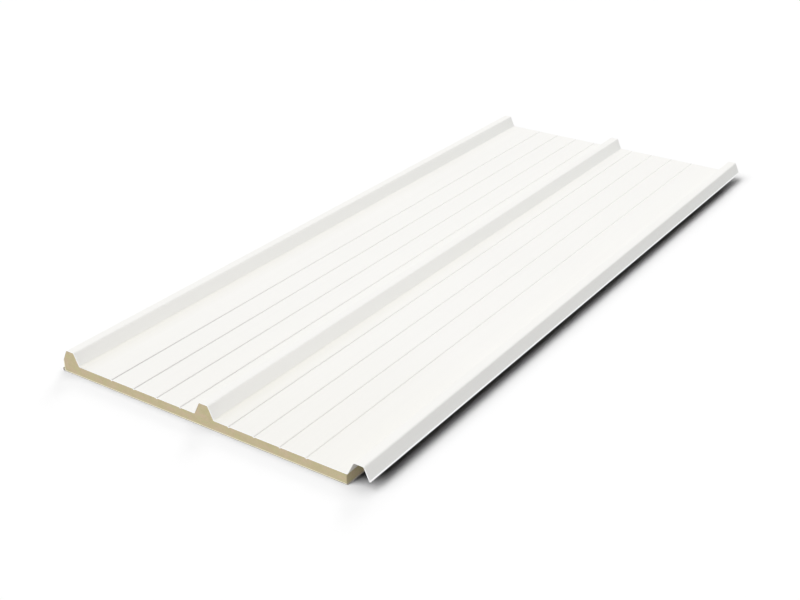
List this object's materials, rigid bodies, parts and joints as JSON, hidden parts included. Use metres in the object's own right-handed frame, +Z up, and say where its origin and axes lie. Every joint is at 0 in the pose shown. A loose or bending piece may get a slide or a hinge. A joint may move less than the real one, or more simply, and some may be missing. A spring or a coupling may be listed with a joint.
{
  "type": "insulated sandwich panel",
  "caption": "Insulated roofing sandwich panel: ribbed white outer steel sheet, rigid foam core and flat inner steel sheet, with a hollow overlap rib along one edge.",
  "frame": {"origin": "on the inner sheet's underside, below the middle rib, halfway along the panel", "axes": "+X across the ribs, towards the overlap rib; +Y along the ribs; +Z up, from the inner sheet to the ribs"},
  "size_m": [1.0721, 2.5, 0.0715],
  "materials": {
    "outer_steel": "satin white coil paint",
    "rigid_foam": "cut rigid foam, khaki, with fine cells",
    "inner_steel": "satin white coil paint"
  },
  "bodies": {
    "root": {"outer_sheet": "outer_steel", "foam_core": "rigid_foam", "inner_sheet": "inner_steel"}
  },
  "joints": []
}
